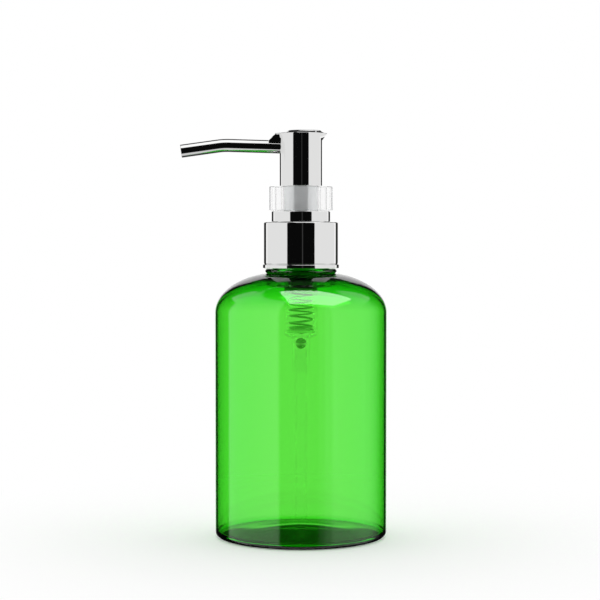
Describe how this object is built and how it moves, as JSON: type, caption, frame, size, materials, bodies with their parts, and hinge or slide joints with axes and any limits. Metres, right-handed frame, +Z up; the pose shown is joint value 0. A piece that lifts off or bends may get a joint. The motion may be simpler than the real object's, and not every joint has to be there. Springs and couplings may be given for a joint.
{
  "type": "pump bottle",
  "caption": "Round bottle with a domed shoulder and a lotion pump: clip-locked press head with a long bent spout, stepped collar, return spring, piston, ball valve and dip tube.",
  "frame": {"origin": "centre of the bottle's base, on the bottle's axis, in the plane that the bottle stands on", "axes": "+Z up along the bottle's axis, -X along the spout, -Y the side that the lock clip pulls off to"},
  "size_m": [0.0912, 0.076, 0.1797],
  "materials": {
    "green_bottle": "clear green-tinted plastic, polished",
    "clear_clip": "clear plastic, polished",
    "natural_plastic": "natural translucent plastic",
    "white_plastic": "moulded, satin",
    "chrome": "mirror-bright plating",
    "foam": "closed-cell foam, matt",
    "spring_steel": "drawn stainless wire"
  },
  "bodies": {
    "bottle": {"bottle": "green_bottle"},
    "pump": {"gasket": "foam", "housing": "natural_plastic", "dip_tube": "natural_plastic", "valve_cage": "white_plastic", "guide_column": "white_plastic"},
    "collar": {"closure_cap": "white_plastic", "collar_shell": "chrome"},
    "clip": {"lock_clip": "clear_clip"},
    "return_spring": {"spring": "spring_steel"},
    "plunger": {"valve_rod": "white_plastic", "stem": "white_plastic", "actuator_core": "white_plastic", "spout_liner": "natural_plastic", "head_shell": "chrome"},
    "piston_ring": {"piston": "white_plastic"},
    "valve_ball": {"inlet_ball": "spring_steel"}
  },
  "joints": [
    {"name": "pump_lift", "type": "slide", "parent": "bottle", "child": "pump", "axis": [0, 0, 1], "range_m": [0, 0.13]},
    {"name": "collar_turn", "type": "hinge", "parent": "pump", "child": "collar", "pos_m": [0, 0, 0.13], "axis": [0, 0, 1], "continuous": true},
    {"name": "clip_pull", "type": "slide", "parent": "pump", "child": "clip", "axis": [0, -1, 0], "range_m": [0, 0.035], "deforming": ["lock_clip"]},
    {"name": "head_swivel", "type": "hinge", "parent": "pump", "child": "return_spring", "pos_m": [0, 0, 0.165], "axis": [0, 0, 1], "continuous": true},
    {"name": "head_press", "type": "slide", "parent": "return_spring", "child": "plunger", "axis": [0, 0, -1], "range_m": [0, 0.0098], "stiffness_N_per_m": 1000, "springref_m": -0.008, "deforming": ["spring"]},
    {"name": "piston_travel", "type": "slide", "parent": "pump", "child": "piston_ring", "axis": [0, 0, -1], "range_m": [0, 0.009]},
    {"name": "ball_lift", "type": "slide", "parent": "pump", "child": "valve_ball", "axis": [0, 0, 1], "range_m": [0, 0.0015]}
  ],
  "couplings": [
    {"joint": "piston_travel", "follows": "head_press", "ratio": 0.918}
  ]
}
